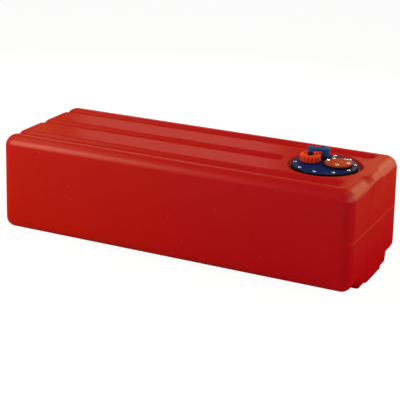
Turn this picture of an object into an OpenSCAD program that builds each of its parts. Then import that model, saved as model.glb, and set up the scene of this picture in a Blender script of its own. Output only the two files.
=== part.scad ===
// Inboard fuel tank: a moulded tank with a bolted service flange on top.
// The flange carries a screw cap with a draw-off elbow, a vent and a blanked sender port.
// Millimetres, +Z up, +X towards the flange end. The origin is under the middle of the base.

/* [Tank] */
// Overall length
tank_l = 1000; // [800:10:1300]
// Overall width
tank_w = 372; // [330:2:460]
// Overall height of the moulding
tank_h = 276; // [220:2:340]
// Radius of the long edges and corners
edge_r = 32; // [20:1:40]
// Radius of the lower edges of the side strips
foot_r = 28; // [16:1:40]
// Wall thickness
wall = 6; // [4:0.5:8]
// Height of the side strips above the base panel
base_step = 14; // [6:1:20]
// Width of the base panel that the tank stands on
base_w = 214; // [180:2:280]
// Edge radius of the base panel
sharp_r = 11; // [6:1:16]

/* [Grooves] */
// Width of a lengthwise groove
groove_w = 46; // [30:1:56]
// Depth of a groove
groove_d = 8; // [4:0.5:11]
// Spacing of the grooves across the top
groove_pitch = 126; // [110:1:135]
// Distance from the flange end to the end of the outer grooves
groove_land = 47; // [40:1:120]
// Distance from the flange recess to the end of the middle groove
mid_groove_land = 12; // [6:1:120]
// Height of the lower end of the grooves on the plain end
groove_foot = 80; // [60:5:120]

/* [End pad] */
// Width of the raised pad on the flange end
pad_w = 110; // [80:5:140]
// How far the pad stands out from the end
pad_proud = 4; // [2:0.5:8]
// Width of the slope on each side of the pad
pad_flank = 16; // [4:1:30]
// Radius of the pad's upper and lower edges
pad_r = 8; // [4:1:16]

/* [Flange] */
// Distance from the flange end to the flange centre
flange_inset = 145; // [132:1:220]
// Radius of the flange plate
flange_r = 85; // [83:0.5:92]
// Thickness of the flange plate
flange_t = 8; // [6:0.5:12]
// Radius of the round hole in the tank
hole_r = 62; // [60.5:0.5:64]
// Gap between the plate and the side of its recess
recess_gap = 9; // [3:0.5:12]
// Depth of the recess
recess_d = 9; // [6:0.5:11]
// Thickness of the moulded ring under the recess
boss_t = 15; // [12.5:0.5:22]
// Thickness of the flange gasket
gasket_t = 3; // [1:0.5:4]
// Radius of the screw circle
flange_pcr = 75; // [73.5:0.5:77]
// Number of flange screws
flange_screw_count = 10; // [8:1:10]

/* [Screws] */
// Radius of a screw shank
screw_r = 2.4; // [2:0.1:2.6]
// Radius of a pan head
head_r = 4.5; // [3.8:0.1:4.8]
// Height of a pan head
head_h = 3.2; // [2.4:0.1:4]
// Wall of a brass insert
insert_wall = 1.1; // [0.9:0.1:1.4]
// Length of a brass insert
insert_l = 8; // [6:0.5:9]
// Depth of thread that a screw takes in its insert
screw_grip = 7; // [5:0.5:8]

/* [Neck and cap] */
// Distance from the flange centre to the neck
neck_offset = 40; // [38:0.5:42]
// Outer radius of the neck
neck_r = 21.5; // [20:0.5:22.5]
// Wall of the neck
neck_wall = 5; // [3.5:0.5:6]
// Height of the neck above the plate
neck_h = 11; // [9:0.5:20]
// Thickness of the neck gasket
neck_gasket_t = 1.5; // [1:0.5:3]
// Wall of the cap skirt
cap_wall = 3.6; // [3:0.2:4.4]
// Thickness of the cap top
cap_top_t = 2.2; // [1.8:0.2:4]
// Depth of the dish in the cap top
cap_dish = 2.3; // [1:0.1:4]
// Gap between the cap skirt and the plate
cap_lift_gap = 3; // [1:0.5:5]
// Number of grip ribs round the cap
rib_count = 18; // [12:1:24]
// Radius of a grip rib
rib_r = 2; // [1.4:0.1:2.6]

/* [Draw-off] */
// Outer radius of the stem
stem_r = 7.5; // [7:0.1:9]
// Height of the stem above the cap
stem_show = 5.6; // [5.4:0.2:14]
// Thickness of the stem shoulder
shoulder_t = 2.5; // [2:0.5:5]
// Radius of the elbow leg in the stem
leg_r = 5; // [4.6:0.1:5.2]
// Radius of the fuel way
way_r = 3; // [2.2:0.1:3.2]
// Radius over the barbs of the elbow arm
arm_r = 6.3; // [5.4:0.1:7]
// Reach of the elbow arm from the stem axis
arm_l = 31; // [26:0.5:32]
// Direction of the elbow arm
arm_turn = 26; // [0:1:60]
// Wall of the pick-up tube
tube_wall = 1.5; // [1:0.1:2.5]
// Gap between the strainer and the tank floor
strainer_gap = 4; // [1:0.5:20]
// Outer radius of the strainer
strainer_r = 12; // [10:0.5:15]
// Height of the strainer
strainer_h = 26; // [22:1:40]

/* [Vent] */
// Distance of the vent from the flange centre, along the tank
vent_x = -13; // [-16:0.5:-8]
// Distance of the vent from the flange centre, across the tank
vent_y = 38; // [36:0.5:40]
// Radius of the vent body
vent_r = 11.5; // [10.5:0.1:12]
// Height of the vent body above its collar
vent_h = 23; // [20:0.5:34]
// Height of the vent collar
collar_h = 6; // [4:0.5:14]
// Radius of the vent shank
shank_r = 8.5; // [8:0.1:9]
// Radius of the roll-over ball
ball_r = 4.8; // [4:0.1:5.2]
// Travel of the roll-over ball
ball_travel = 5; // [3:0.5:7]
// Radius over the barbs of the vent hose tail
tail_r = 5.4; // [4.8:0.1:6.4]
// Reach of the vent hose tail from the vent axis
tail_l = 35; // [28:0.5:40]
// Direction of the vent hose tail
tail_turn = 125; // [100:1:150]
// Depth of the hose tail's axis below the vent top
tail_drop = 8; // [7:0.5:10]

/* [Sender port] */
// Distance from the flange centre to the sender port
sender_offset = 35.5; // [35:0.5:36.5]
// Radius of the sender boss and plate
sender_r = 35; // [33:0.5:36]
// Radius of the sender opening
sender_hole_r = 20; // [17:0.5:21]
// Height of the sender boss
sender_boss_h = 4.5; // [3:0.5:12]
// Thickness of the sender gasket
sender_gasket_t = 2; // [1:0.5:4]
// Thickness of the blanking plate
sender_plate_t = 4; // [3:0.5:7]
// Radius of the sender screw circle
sender_pcr = 27; // [26:0.5:28]

/* [Hidden] */
$fn = 48;

// Clearances
slip = 0.05;
free = 0.3;
past = 1;

// Facets in a quarter turn of a large and of a small corner
turn_steps = 6;
small_steps = 3;
// Facets on each side of a groove, and the flat share of its width
groove_steps = 3;
groove_flat = 0.2;
// Turns of the section that make a groove's round end
end_steps = 5;

// Levels, from the tank floor up
body_l = tank_l - pad_proud;
body_x = -pad_proud / 2;
body_h = tank_h - base_step;
base_block_h = base_step + foot_r + 2 * sharp_r;
pad_block_l = edge_r + 2 * pad_r;
pad_in = (pad_w - pad_flank) / 2;
pad_out = (pad_w + pad_flank) / 2;
recess_z = tank_h - recess_d;
plate_z = recess_z + gasket_t;
plate_top = plate_z + flange_t;
recess_r = flange_r + recess_gap;
boss_r = recess_r + wall;

// Places round the flange
flange_x = tank_l / 2 - flange_inset;
neck_x = flange_x - neck_offset;
sender_x = flange_x + sender_offset;
vent_at = [flange_x + vent_x, vent_y, 0];
mid_groove_end = flange_x - recess_r - mid_groove_land - groove_w / 2;
outer_groove_end = tank_l / 2 - groove_land - groove_w / 2;

// Screws and inserts
screw_hole_r = screw_r + free;
insert_r = screw_r + slip + insert_wall;
first_screw = 180 / flange_screw_count;
flange_screw_l = flange_t + gasket_t + screw_grip;
sender_screw_l = sender_plate_t + sender_gasket_t + screw_grip;
// Angles of the sender screws: a fifth of a turn apart, with one set over as a key
sender_angles = [66, 138, 186, 282, 354];

// Neck, cap and stem
neck_bore_r = neck_r - neck_wall;
gasket_inset = 0.5;
neck_top = plate_top + neck_h;
shoulder_z = neck_top + neck_gasket_t;
shoulder_top = shoulder_z + shoulder_t;
shoulder_r = neck_r - 1;
slip_ring_t = 1;
slip_ring_z = shoulder_top + free;
cap_ceiling = slip_ring_z + slip_ring_t + free;
cap_z = plate_top + cap_lift_gap;
thread_gap = 0.4;
cap_bore_r = neck_r + thread_gap;
cap_r = cap_bore_r + cap_wall;
cap_top = cap_ceiling + cap_top_t + cap_dish;
cap_rim = 2;
cap_dish_r = cap_bore_r - cap_rim;
stem_top = cap_top + stem_show;

// Elbow
leg_floor = 1;
leg_l = stem_top - shoulder_z - leg_floor;
elbow_z = stem_top + free;
elbow_lip = 0.7;
elbow_round = 2;
arm_z = elbow_z + arm_r + elbow_lip;
elbow_top = arm_z + arm_r + elbow_lip;
elbow_r = arm_r + 1;
arm_collar_r = arm_r + elbow_lip / 2;
arm_collar_l = elbow_r + 1.5;
groove_depth = 0.9;
ring_t = 1.2;
snap_rise = 1.5;
snap_z = shoulder_top + snap_rise;
o_ring_depth = 4;
o_ring_z = stem_top - o_ring_depth;
o_ring_r = 0.45;

// Pick-up
spigot_wall = 1.5;
spigot_r = way_r + spigot_wall;
spigot_l = 30;
tube_r = spigot_r + slip + tube_wall;
strainer_z = wall + strainer_gap;
strainer_socket = 12;
socket_floor = 2;
strainer_top_t = strainer_socket + socket_floor;

// Vent
vent_gasket_t = 1.5;
vent_gasket_r = vent_r + 1;
collar_z = plate_top + vent_gasket_t;
vent_z = collar_z + collar_h;
vent_top = vent_z + vent_h;
vent_chamfer = 1.8;
collar_r = vent_r + 2;
vent_nut_h = 8;
vent_nut_r = shank_r + 5;
shank_tail = 4;
shank_z = plate_z - vent_nut_h - shank_tail;
ball_gap = 0.8;
chamber_r = ball_r + ball_gap;
stop_t = 3;
stop_inset = 2;
stop_bore_r = 0.6 * ball_r;
// Height of the ball's centre over the edge of a hole that it closes
ball_seat = sqrt(ball_r * ball_r - stop_bore_r * stop_bore_r);
stop_z = shank_z + stop_inset;
ball_z = stop_z + stop_t + ball_seat;
seat_z = ball_z + ball_travel + ball_seat;
port_r = 4.4;
tail_z = vent_top - tail_drop;
tail_bore_r = 3;
tail_collar_r = tail_r + 1.6;
tail_root = vent_r + 3;
tail_collar_l = vent_r + 4;

// Sender
boss_top = plate_top + sender_boss_h;
sender_plate_z = boss_top + sender_gasket_t;
sender_top = sender_plate_z + sender_plate_t;

tank_red = "#b5261b";
flange_blue = "#1b2b66";
fitting_blue = "#24468f";
cap_orange = "#d5401f";
black = "#1c1c1e";

// Points on an arc, in steps of equal angle
function arc(x, y, r, from, steps) =
  [for (i = [0:steps]) let (a = from + 90 * i / steps) [x + r * cos(a), y + r * sin(a)]];

// Rectangle with round corners, the lower two with a radius of their own
function round_rect(w, h, r, foot, steps) = concat(
  arc(w / 2 - r, h / 2 - r, r, 0, steps),
  arc(r - w / 2, h / 2 - r, r, 90, steps),
  arc(foot - w / 2, foot - h / 2, foot, 180, steps),
  arc(w / 2 - foot, foot - h / 2, foot, 270, steps)
);

// Side of a groove from its flat bottom to just above the surface: x out from the middle, y up
function groove_side(w, d) =
  [for (i = [0:groove_steps])
    let (t = i / groove_steps)
      [w / 2 * (groove_flat + (1 - groove_flat) * t), past - (d + past) * (1 + cos(180 * t)) / 2]];

// Whole section of a groove, with its sides carried on past the surface
function groove_section(w, d) =
  let (side = groove_side(w, d))
    concat(side, [for (i = [groove_steps:-1:0]) [-side[i][0], side[i][1]]]);

// Block with all its edges rounded, centred
module soft_block(l, w, h, r, foot, steps) {
  intersection() {
    linear_extrude(height = h, center = true) polygon(round_rect(l, w, r, r, steps));
    rotate([90, 0, 0]) linear_extrude(height = w, center = true) polygon(round_rect(l, h, r, foot, steps));
    rotate([90, 0, 90]) linear_extrude(height = l, center = true) polygon(round_rect(w, h, r, foot, steps));
  }
}

// Body and base panel of the tank, drawn in from the outside by skin
module tank_form(skin) {
  translate([body_x, 0, (tank_h + base_step) / 2])
    soft_block(
      body_l - 2 * skin, tank_w - 2 * skin, body_h - 2 * skin,
      edge_r - skin, foot_r - skin, turn_steps
    );
  translate([body_x, 0, (base_block_h + skin) / 2])
    soft_block(
      body_l - 2 * skin, base_w - 2 * skin, base_block_h - skin,
      sharp_r, sharp_r, small_steps
    );
}

// Sharper pad in the middle of the flange end, with a slope on each side
module end_pad() {
  end = tank_l / 2;
  intersection() {
    translate([end - pad_block_l / 2, 0, tank_h / 2])
      rotate([90, 0, 0])
        linear_extrude(height = 2 * pad_out, center = true)
          polygon(round_rect(pad_block_l, tank_h, pad_r, pad_r, small_steps));
    linear_extrude(height = tank_h)
      polygon([
        [end - pad_block_l, -pad_out], [end - pad_proud, -pad_out], [end, -pad_in],
        [end, pad_in], [end - pad_proud, pad_out], [end - pad_block_l, pad_out]
      ]);
  }
}

// Straight stretch of groove along +X, cut down from z = 0
module groove_run(l, w, d) {
  rotate([90, 0, 90]) linear_extrude(height = l) polygon(groove_section(w, d));
}

// Round end of a groove: the section turned about its middle in equal steps
module groove_end(w, d) {
  intersection_for(i = [0:end_steps - 1])
    rotate([0, 0, i * 180 / end_steps]) translate([-w, 0, 0]) groove_run(2 * w, w, d);
}

// One groove: along the top, round the plain end's edge and down that end
module groove(y, end_x, w, d) {
  left = -tank_l / 2;
  corner = [left + edge_r, y, tank_h - edge_r];
  translate([left - past, y, tank_h]) groove_run(end_x - left + 2 * past, w, d);
  translate([end_x, y, tank_h]) groove_end(w, d);
  for (i = [1:turn_steps - 1])
    translate(corner)
      rotate([0, -90 * i / turn_steps, 0])
        translate([-edge_r, 0, edge_r]) groove_run(2 * edge_r, w, d);
  translate([left, y, groove_foot - past])
    rotate([0, -90, 0]) groove_run(tank_h - groove_foot + 2 * past, w, d);
  translate([left, y, groove_foot]) rotate([0, -90, 0]) groove_end(w, d);
}

module grooves(w, d) {
  groove(-groove_pitch, outer_groove_end, w, d);
  groove(0, mid_groove_end, w, d);
  groove(groove_pitch, outer_groove_end, w, d);
}

module on_flange_circle() {
  for (i = [0:flange_screw_count - 1])
    translate([flange_x, 0, 0])
      rotate([0, 0, first_screw + i * 360 / flange_screw_count])
        translate([flange_pcr, 0, 0])
          children();
}

module on_sender_circle() {
  for (a = sender_angles)
    translate([sender_x, 0, 0]) rotate([0, 0, a]) translate([sender_pcr, 0, 0]) children();
}

// Cylinder between two levels
module rod(r, low, high) {
  translate([0, 0, low]) cylinder(r = r, h = high - low);
}

// Ring between two levels
module ring(outer, inner, low, high) {
  difference() {
    rod(outer, low, high);
    rod(inner, low - past, high + past);
  }
}

// Pan-head screw with a cross recess, seated at z
module pan_screw(z, l) {
  crown_r = head_h / 2;
  crown = arc(head_r - crown_r, crown_r, crown_r, 0, small_steps);
  difference() {
    union() {
      rod(screw_r, z - l, z + past);
      translate([0, 0, z]) rotate_extrude() polygon(concat([[0, 0], [head_r, 0]], crown, [[0, head_h]]));
    }
    for (a = [0, 90])
      rotate([0, 0, a])
        translate([0, 0, z + head_h]) cube([head_r, head_h / 4, head_h], center = true);
  }
}

module tank_shell() {
  color(tank_red)
    difference() {
      union() {
        tank_form(0);
        end_pad();
      }
      grooves(groove_w, groove_d);
      difference() {
        tank_form(wall);
        grooves(groove_w + 2 * wall, groove_d + wall);
        translate([flange_x, 0, 0]) rod(boss_r, recess_z - boss_t, tank_h);
      }
      translate([flange_x, 0, 0]) {
        rod(recess_r, recess_z, tank_h + past);
        rod(hole_r, recess_z - boss_t - past, tank_h);
      }
      on_flange_circle() rod(insert_r + slip, recess_z - insert_l - past, recess_z + past);
    }
}

module flange_gasket() {
  color(black)
    difference() {
      translate([flange_x, 0, 0]) ring(flange_r, hole_r, recess_z, plate_z);
      on_flange_circle() rod(screw_hole_r, recess_z - past, plate_z + past);
    }
}

module flange_plate() {
  color(flange_blue)
    difference() {
      union() {
        translate([flange_x, 0, 0]) rod(flange_r, plate_z, plate_top);
        translate([neck_x, 0, 0]) rod(neck_r, plate_z, neck_top);
        translate([sender_x, 0, 0]) rod(sender_r, plate_z, boss_top);
      }
      translate([neck_x, 0, 0]) rod(neck_bore_r, plate_z - past, neck_top + past);
      translate([sender_x, 0, 0]) rod(sender_hole_r, plate_z - past, boss_top + past);
      translate(vent_at) rod(shank_r + free, plate_z - past, plate_top + past);
      on_flange_circle() rod(screw_hole_r, plate_z - past, plate_top + past);
      on_sender_circle() rod(insert_r + slip, boss_top - insert_l - past, boss_top + past);
    }
}

module flange_screws() {
  color("silver") on_flange_circle() pan_screw(plate_top, flange_screw_l);
}

module flange_inserts() {
  color("#b8994a") on_flange_circle() ring(insert_r, screw_r + slip, recess_z - insert_l, recess_z);
}

module neck_gasket() {
  color(black)
    translate([neck_x, 0, 0])
      ring(neck_r - gasket_inset, neck_bore_r + gasket_inset, neck_top, shoulder_z);
}

module screw_cap() {
  color(cap_orange)
    translate([neck_x, 0, 0])
      difference() {
        union() {
          rod(cap_r, cap_z, cap_top);
          for (i = [0:rib_count - 1])
            rotate([0, 0, (i + 0.5) * 360 / rib_count])
              translate([cap_r - rib_r / 4, 0, 0])
                rod(rib_r, cap_z + rib_r / 2, cap_top - rib_r);
        }
        rod(cap_bore_r, cap_z - past, cap_ceiling);
        rod(stem_r + free, cap_ceiling - past, cap_top + past);
        rod(cap_dish_r, cap_top - cap_dish, cap_top + past);
      }
}

module cap_slip_ring() {
  color("white")
    translate([neck_x, 0, 0])
      ring(shoulder_r, stem_r + 2 * free, slip_ring_z, slip_ring_z + slip_ring_t);
}

module draw_off_stem() {
  color(black)
    translate([neck_x, 0, 0])
      difference() {
        union() {
          rod(shoulder_r, shoulder_z, shoulder_top);
          rod(stem_r, shoulder_z, stem_top);
          rod(spigot_r, shoulder_z - spigot_l, shoulder_z + past);
        }
        rod(way_r, shoulder_z - spigot_l - past, stem_top);
        rod(leg_r + slip, stem_top - leg_l - free, stem_top + past);
        rod(leg_r + groove_depth + free, snap_z - free, snap_z + ring_t + free);
      }
}

module outlet_elbow() {
  color(fitting_blue)
    translate([neck_x, 0, 0])
      rotate([0, 0, arm_turn])
        difference() {
          union() {
            rod(leg_r, stem_top - leg_l, elbow_z + past);
            rod(elbow_r, elbow_z, elbow_top - elbow_round);
            translate([0, 0, elbow_top - elbow_round])
              cylinder(r1 = elbow_r, r2 = elbow_r - elbow_round, h = elbow_round);
            translate([0, 0, arm_z])
              rotate([0, 90, 0]) {
                rod(arm_collar_r, 0, arm_collar_l);
                hose_tail(arm_l, arm_r);
              }
          }
          rod(way_r, stem_top - leg_l - past, arm_z);
          translate([0, 0, arm_z]) sphere(r = way_r);
          translate([0, 0, arm_z]) rotate([0, 90, 0]) rod(way_r, 0, arm_l + past);
          ring(leg_r + past, leg_r - groove_depth, snap_z, snap_z + ring_t);
          ring(leg_r + past, leg_r - groove_depth, o_ring_z - 2 * o_ring_r, o_ring_z + 2 * o_ring_r);
        }
}

// Hose tail along +Z: a plain root and three barbs, each with a narrow land
module hose_tail(l, r) {
  barb_l = 5;
  barb_land = 1.5;
  barb_rise = 0.9;
  rod(r, 0, l - 3 * barb_l - barb_land);
  rod(r - barb_rise, 0, l);
  for (i = [1:3])
    translate([0, 0, l - i * barb_l]) {
      rod(r, 0, barb_land);
      translate([0, 0, barb_land]) cylinder(r1 = r, r2 = r - barb_rise, h = barb_l - barb_land);
    }
}

module elbow_o_ring() {
  color(black)
    translate([neck_x, 0, o_ring_z])
      rotate_extrude() translate([leg_r - o_ring_r, 0]) circle(r = o_ring_r);
}

module elbow_snap_ring() {
  color("silver")
    translate([neck_x, 0, 0])
      difference() {
        ring(leg_r + groove_depth, leg_r - groove_depth + free, snap_z + slip, snap_z + ring_t - slip);
        translate([leg_r, 0, snap_z]) cube([2 * leg_r, leg_r, 4 * ring_t], center = true);
      }
}

module pickup_tube() {
  color("#d9d6c8")
    translate([neck_x, 0, 0])
      ring(tube_r, spigot_r + slip, strainer_z + strainer_h - strainer_socket, shoulder_z);
}

module pickup_strainer() {
  slots = 8;
  slot_w = 4;
  skin = 1.6;
  chamber_top = strainer_z + strainer_h - strainer_top_t;
  color(black)
    translate([neck_x, 0, 0])
      difference() {
        rod(strainer_r, strainer_z, strainer_z + strainer_h);
        rod(strainer_r - skin, strainer_z + skin, chamber_top);
        rod(way_r, strainer_z + skin, strainer_z + strainer_h);
        rod(tube_r + slip, strainer_z + strainer_h - strainer_socket, strainer_z + strainer_h + past);
        for (i = [0:slots - 1])
          rotate([0, 0, i * 360 / slots])
            translate([strainer_r / 2, -slot_w / 2, strainer_z + 2 * skin])
              cube([strainer_r, slot_w, chamber_top - strainer_z - 3 * skin]);
      }
}

module vent_gasket() {
  color(black) translate(vent_at) ring(vent_gasket_r, shank_r + slip, plate_top, collar_z);
}

module vent_collar() {
  color(black)
    translate(vent_at)
      difference() {
        translate([0, 0, collar_z]) cylinder(r = collar_r, h = collar_h, $fn = 6);
        rod(shank_r + slip, collar_z - past, vent_z + past);
      }
}

module vent_body() {
  color(fitting_blue)
    translate(vent_at)
      difference() {
        union() {
          rod(shank_r, shank_z, vent_z + past);
          rod(vent_r, vent_z, vent_top - vent_chamfer);
          translate([0, 0, vent_top - vent_chamfer])
            cylinder(r1 = vent_r, r2 = vent_r - vent_chamfer, h = vent_chamfer);
        }
        rod(chamber_r, shank_z - past, seat_z);
        rod(stop_bore_r, seat_z - past, tail_z);
        translate([0, 0, tail_z]) rotate([0, 90, tail_turn]) rod(port_r, 0, vent_r + past);
      }
}

module vent_nut() {
  color(black)
    translate(vent_at)
      difference() {
        translate([0, 0, plate_z - vent_nut_h]) cylinder(r = vent_nut_r, h = vent_nut_h, $fn = 6);
        rod(shank_r + slip, plate_z - vent_nut_h - past, plate_z + past);
      }
}

module vent_ball() {
  color("silver") translate(vent_at) translate([0, 0, ball_z + slip]) sphere(r = ball_r);
}

module vent_stop() {
  color(black) translate(vent_at) ring(chamber_r - slip, stop_bore_r, stop_z, stop_z + stop_t);
}

module vent_hose_tail() {
  color(black)
    translate(vent_at)
      translate([0, 0, tail_z])
        rotate([0, 90, tail_turn])
          difference() {
            union() {
              rod(port_r - slip, stop_bore_r + past, vent_r + 2 * past);
              rod(tail_collar_r, vent_r + free, tail_collar_l);
              translate([0, 0, tail_root]) hose_tail(tail_l - tail_root, tail_r);
            }
            rod(tail_bore_r, 0, tail_l + past);
          }
}

module sender_gasket() {
  color(black)
    difference() {
      translate([sender_x, 0, 0]) ring(sender_r, sender_hole_r, boss_top, sender_plate_z);
      on_sender_circle() rod(screw_hole_r, boss_top - past, sender_plate_z + past);
    }
}

module sender_plate() {
  color(cap_orange)
    difference() {
      translate([sender_x, 0, 0]) rod(sender_r, sender_plate_z, sender_top);
      on_sender_circle() rod(screw_hole_r, sender_plate_z - past, sender_top + past);
    }
}

module sender_screws() {
  color("silver") on_sender_circle() pan_screw(sender_top, sender_screw_l);
}

module sender_inserts() {
  color("#b8994a") on_sender_circle() ring(insert_r, screw_r + slip, boss_top - insert_l, boss_top);
}

tank_shell();
flange_gasket();
flange_plate();
flange_screws();
flange_inserts();
neck_gasket();
screw_cap();
cap_slip_ring();
draw_off_stem();
outlet_elbow();
elbow_o_ring();
elbow_snap_ring();
pickup_tube();
pickup_strainer();
vent_gasket();
vent_collar();
vent_body();
vent_nut();
vent_ball();
vent_stop();
vent_hose_tail();
sender_gasket();
sender_plate();
sender_screws();
sender_inserts();
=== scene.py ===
"""Looks of an inboard fuel tank: a red moulded tank with a blue flange of fittings on top.

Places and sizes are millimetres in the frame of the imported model: +X towards the flange end,
+Y away from the camera, +Z up from the base. Meshes are scaled to metres when they are made.
"""
import math

import bmesh
import bpy
import numpy as np
from mathutils import Matrix, Vector


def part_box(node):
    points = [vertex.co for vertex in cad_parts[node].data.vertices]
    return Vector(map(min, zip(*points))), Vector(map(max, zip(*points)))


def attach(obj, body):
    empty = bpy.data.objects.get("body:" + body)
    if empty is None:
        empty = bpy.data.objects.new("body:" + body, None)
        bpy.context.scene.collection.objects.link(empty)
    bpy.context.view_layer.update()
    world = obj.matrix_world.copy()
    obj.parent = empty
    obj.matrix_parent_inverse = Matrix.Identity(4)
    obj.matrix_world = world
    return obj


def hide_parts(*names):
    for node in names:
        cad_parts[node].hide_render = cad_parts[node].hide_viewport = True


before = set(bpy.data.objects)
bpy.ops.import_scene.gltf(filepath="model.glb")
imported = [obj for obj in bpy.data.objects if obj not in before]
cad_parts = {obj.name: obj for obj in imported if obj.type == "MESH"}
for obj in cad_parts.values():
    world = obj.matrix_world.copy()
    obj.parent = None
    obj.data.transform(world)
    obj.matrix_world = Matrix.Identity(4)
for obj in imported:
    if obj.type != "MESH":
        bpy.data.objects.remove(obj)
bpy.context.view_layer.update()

MM = 0.001


def box_mm(node):
    """Lowest and highest corners of a CAD node, in millimetres."""
    low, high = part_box(node)
    return np.array(low) / MM, np.array(high) / MM


def centre_of(node):
    """Middle of a CAD node seen from above, in millimetres."""
    low, high = box_mm(node)
    return (low[:2] + high[:2]) / 2


def radius_of(node):
    """Radius of a round CAD node about its upright axis, in millimetres."""
    low, high = box_mm(node)
    return (high[0] - low[0]) / 2


# Tank moulding
TANK_LOW, TANK_HIGH = box_mm("tank_shell")
EDGE_R = 32.0
FOOT_R = 28.0
WALL = 6.0
EDGE_LINE = TANK_HIGH[1] - EDGE_R
LEAN = 3.0  # how far the ends lean out at the foot

# Panel that the tank stands on
BASE_STEP = 14.0
BASE_HALF = 107.0
BASE_R = 11.0
BASE_BLEND = 11.0

# Pad on the flange end: proud at its foot and its crest, nearly flush half way up
PAD_HALF = 55.0
PAD_PROUD = 4.0
PAD_FLUSH = 0.15
PAD_BLEND = 16.0
PAD_R = 8.0
PAD_FOOT = (10.0, 110.0)
CREST_R = 20.0
CREST_IN = 24.0
CREST_OUT = 62.0
CREST_RISE = (195.0, 246.0)

# Line that the mould leaves, stronger on the ends than on the long sides
SEAM_Z = 144.0
SEAM_RISE = 0.45
SEAM_HALF = 1.3
SEAM_ON_SIDES = 0.3
SEAM_ON_ENDS = 1.2

# Upward share of a point's heading: less than the first on a side wall, more than the second on the flat top
UPRIGHT = 0.2
LEVEL = 0.999

# Grooves: middle line, and where the round end stands on the top
GROOVE_HALF = 23.0
GROOVE_FLAT = 0.2
GROOVE_D = 8.0
GROOVE_FOOT = 80.0
GROOVES = [(-126.0, 430.0), (0.0, 226.0), (126.0, 430.0)]

# Flange seat in the tank
FLANGE_AT = centre_of("flange_gasket")
FLANGE_R = radius_of("flange_gasket")
SEAT_Z = box_mm("flange_gasket")[0][2]
PLATE_Z = box_mm("flange_gasket")[1][2]
HOLE_R = 62.0
RECESS_IN = 91.5
RECESS_OUT = 97.5
BOSS_Z = SEAT_Z - 15.0
BOSS_R = 100.0
BOSS_BLEND = 4.0

# Flange plate, and the black ring round its rim: partly the real gasket's edge, drawn up as painted shade on
# the plate's shaded rim
PLATE_TOP = 278.0
PLATE_EDGE = 1.4
RIM_RING = 2.6
RIM_RING_LAP = 0.2
RIM_RING_DROP = 1.2

# Neck and screw cap
NECK_AT = centre_of("neck_gasket")
NECK_R = 21.5
NECK_BORE = 16.5
NECK_TOP = box_mm("neck_gasket")[0][2]
CAP_LOW, CAP_TOP = box_mm("screw_cap")[0][2], box_mm("screw_cap")[1][2]
CAP_R = 25.5
CAP_BORE = 21.9
CAP_CEILING = 294.6
CAP_DISH_R = 19.9
CAP_DISH_Z = 296.8
CAP_HOLE = 7.8
CAP_FOOT = 0.9  # chamfer at the cap's lower edge
CAP_WALL_ROWS = 16
RIBS = 18
RIB_RISE = 1.9
RIB_SEGMENTS = 14

# Vent and sender plate
VENT_AT = centre_of("vent_gasket")
VENT_HOLE = 8.8
SENDER_AT = centre_of("sender_gasket")
SENDER_R = radius_of("sender_gasket")
SENDER_PLATE_Z = box_mm("sender_plate")[0][2]
SENDER_TOP = box_mm("sender_plate")[1][2]
SENDER_HOLE = 20.0
# Black ring under the sender plate: the gasket's edge made thicker, as painted shade under the plate
SENDER_RING_W = 0.9
SENDER_RING_DROP = 2.6
BOSS_TOP = box_mm("sender_gasket")[0][2]

# Screws, their inserts, and the room round them
FLANGE_PCR = 75.0
FLANGE_SCREW_ANGLES = [18.0 + 36.0 * i for i in range(10)]
SENDER_PCR = 27.0
SENDER_SCREW_ANGLES = [66.0, 138.0, 186.0, 282.0, 354.0]
SCREW_R = 2.4
SCREW_SLIP = 0.3
HEAD_R = 4.5
HEAD_H = 3.2
RECESS_D = 1.5  # depth of the cross recess
TURN_STEP = 37.0  # degrees that each screw stands turned from the one before
FLANGE_SCREW_L = 18.0
SENDER_SCREW_L = 13.0
INSERT_R = 3.6
INSERT_L = 9.0
PAST = 5.0  # how far a cutting bar stands past what it cuts

# Edges over these angles stay sharp, on the fittings and on the tank
SHARP = 35.0
TANK_SHARP = 40.0


def smooth_step(low, high, value):
    """Rises from 0 at low to 1 at high with level ends."""
    t = np.clip((value - low) / (high - low), 0.0, 1.0)
    return t * t * (3.0 - 2.0 * t)


def mesh_object(name, verts, faces):
    """Object from millimetre points, shaded smooth apart from its sharp edges."""
    mesh = bpy.data.meshes.new(name)
    mesh.from_pydata([tuple(v) for v in np.asarray(verts) * MM], [], faces)
    mesh.validate()
    mesh.polygons.foreach_set("use_smooth", [True] * len(mesh.polygons))
    mesh.set_sharp_from_angle(angle=math.radians(SHARP))
    mesh.update()
    piece = bpy.data.objects.new(name, mesh)
    bpy.context.scene.collection.objects.link(piece)
    return piece


# Tank skin


class Lines:
    """Grid lines of the tank's box along one axis.

    A line in the straight part has a place. A line in the rounding at either end has the
    tangent of its angle instead, from 0 to 1 at 45 degrees.
    """

    def __init__(self, places, band):
        tangents = [math.tan(math.radians(45.0 * i / band)) for i in range(1, band + 1)]
        self.tangent = np.array([-t for t in reversed(tangents)] + [0.0] * len(places) + tangents)
        self.place = np.array([places[0]] * band + list(places) + [places[-1]] * band)
        self.count = len(self.place)
        self.band = band


def mirrored(offsets):
    """The same distances on both sides of a middle line."""
    return sorted({-o for o in offsets} | set(offsets))


def stretch(start, end, step):
    """Evenly spaced places from start to end, both kept, no further apart than step."""
    count = max(1, math.ceil(abs(end - start) / step - 1e-9))
    return [start + (end - start) * i / count for i in range(count + 1)]


# Straight stretches in which the grid doesn't follow the changing corner radii
X_FIXED = (TANK_LOW[0] + EDGE_R, 460.0)
Z_FIXED = (60.0, 230.0)
SQUARE = X_FIXED[1] - FLANGE_AT[0]  # from here outwards the rings round the flange are square
SEAM_REACH = 6.0  # close lines this far above and below the mould line


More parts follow.
